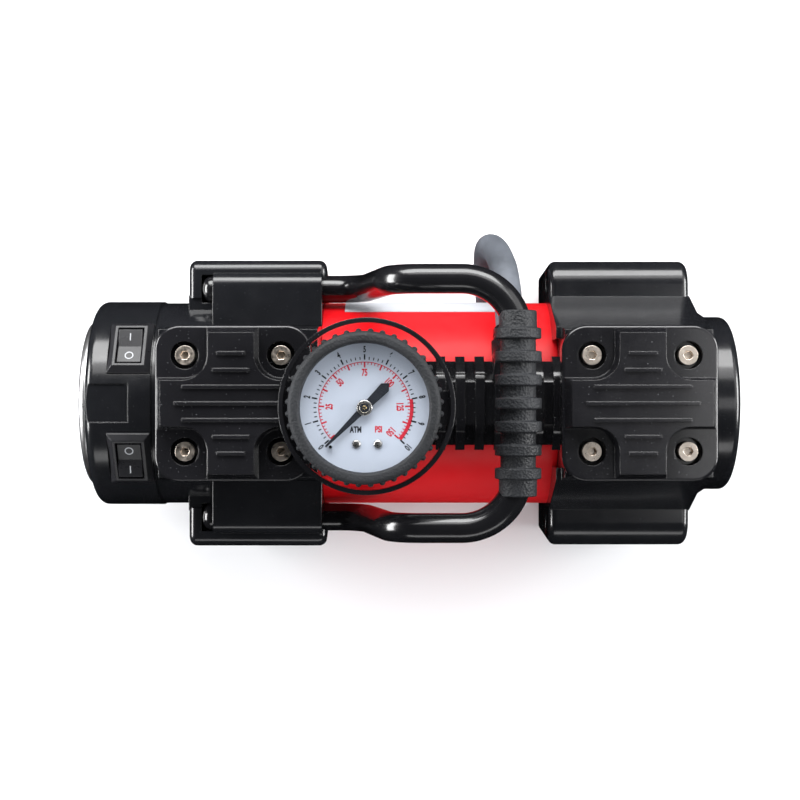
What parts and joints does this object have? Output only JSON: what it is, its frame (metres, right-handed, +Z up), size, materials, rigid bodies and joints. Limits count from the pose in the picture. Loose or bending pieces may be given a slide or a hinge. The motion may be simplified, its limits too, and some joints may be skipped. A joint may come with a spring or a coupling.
{
  "type": "twin-cylinder air compressor",
  "caption": "Small portable air compressor: a motor between cylinder blocks, with a carrying handle, a pressure gauge, rocker switches, a lamp and a short hose.",
  "frame": {"origin": "on the floor under the middle of the unit, midway between the lamp's face and the end cap, without the hose", "axes": "+X along the motor from the lamp to the end cap, +Z up, +Y to the side where the hose leaves"},
  "size_m": [0.253, 0.1242, 0.162],
  "materials": {
    "red_paint": "satin",
    "black_casting": "satin",
    "gloss_black": "gloss",
    "tube_black": "gloss",
    "black_plastic": "satin",
    "rubber": "matte",
    "hose_rubber": "satin",
    "steel": "satin",
    "zinc_screw": "bright",
    "chrome": "bright",
    "aluminium": "satin",
    "cast_iron": "matte",
    "copper": "satin",
    "brass": "satin",
    "magnet": "matte",
    "carbon": "matte",
    "fibre": "matte",
    "dial_white": "satin",
    "label_white": "satin",
    "needle_black": "satin",
    "clear": "clear",
    "board": "satin"
  },
  "bodies": {
    "frame": {"motor_can": "red_paint", "rating_label": "label_white", "motor_magnets": "magnet", "brush_holder": "fibre", "carbon_brushes": "carbon", "shaft_bearings": "steel", "through_bolts": "steel", "left_block": "black_casting", "right_block": "black_casting", "handle_clamps": "black_casting", "rubber_feet": "rubber", "right_end_cap": "black_casting", "deck_gaskets": "fibre", "head_gaskets": "fibre", "manifold": "gloss_black", "hose_nut": "gloss_black", "hose_ferrule": "gloss_black", "gauge_stem": "brass", "gauge_case": "black_plastic", "gauge_boot": "rubber", "gauge_movement": "brass", "gauge_dial": "dial_white", "dial_screws": "chrome", "zero_pin": "chrome", "gauge_lens": "clear", "gauge_guard": "gloss_black", "handle_tube": "tube_black", "handle_grip": "rubber", "control_housing": "black_plastic", "cable_gland": "rubber", "upper_switch_body": "black_plastic", "lower_switch_body": "black_plastic", "lamp_bezel": "chrome", "lamp_lens": "clear", "lamp_reflector": "chrome", "lamp_board": "board", "delivery_hose": "hose_rubber", "coupler_body": "brass", "left_cylinder_sleeve": "aluminium", "left_valve_plate": "aluminium", "left_head_cover": "gloss_black", "left_head_screws": "zinc_screw", "right_cylinder_sleeve": "aluminium", "right_valve_plate": "aluminium", "right_head_cover": "gloss_black", "right_head_screws": "zinc_screw"},
    "rotor": {"motor_shaft": "steel", "armature_core": "cast_iron", "armature_windings": "copper", "commutator": "copper", "left_crank": "steel", "right_crank": "steel"},
    "left_piston": {"left_piston": "aluminium", "left_piston_seal": "rubber"},
    "right_piston": {"right_piston": "aluminium", "right_piston_seal": "rubber"},
    "upper_rocker": {"upper_rocker": "black_plastic"},
    "lower_rocker": {"lower_rocker": "black_plastic"},
    "needle": {"gauge_needle": "needle_black"},
    "coupler_sleeve": {"coupler_sleeve": "chrome"}
  },
  "joints": [
    {"name": "shaft_spin", "type": "hinge", "parent": "frame", "child": "rotor", "pos_m": [0.0095, 0, 0.064], "axis": [1, 0, 0], "continuous": true},
    {"name": "left_piston_stroke", "type": "slide", "parent": "frame", "child": "left_piston", "axis": [0, 0, 1], "range_m": [-0.016, 0]},
    {"name": "right_piston_stroke", "type": "slide", "parent": "frame", "child": "right_piston", "axis": [0, 0, 1], "range_m": [0, 0.016]},
    {"name": "upper_switch_rock", "type": "hinge", "parent": "frame", "child": "upper_rocker", "pos_m": [-0.1061, 0.02104, 0.09767], "axis": [1, 0, 0], "range_deg": [-16, 0]},
    {"name": "lower_switch_rock", "type": "hinge", "parent": "frame", "child": "lower_rocker", "pos_m": [-0.1061, -0.02104, 0.09767], "axis": [1, 0, 0], "range_deg": [0, 16]},
    {"name": "needle_sweep", "type": "hinge", "parent": "frame", "child": "needle", "pos_m": [-0.0157, -0.0015, 0.155], "axis": [0, 0, -1], "range_deg": [0, 270], "stiffness_Nm_per_rad": 0.00002},
    {"name": "coupler_release", "type": "slide", "parent": "frame", "child": "coupler_sleeve", "axis": [0, 1, 0], "range_m": [0, 0.005], "stiffness_N_per_m": 300}
  ]
}
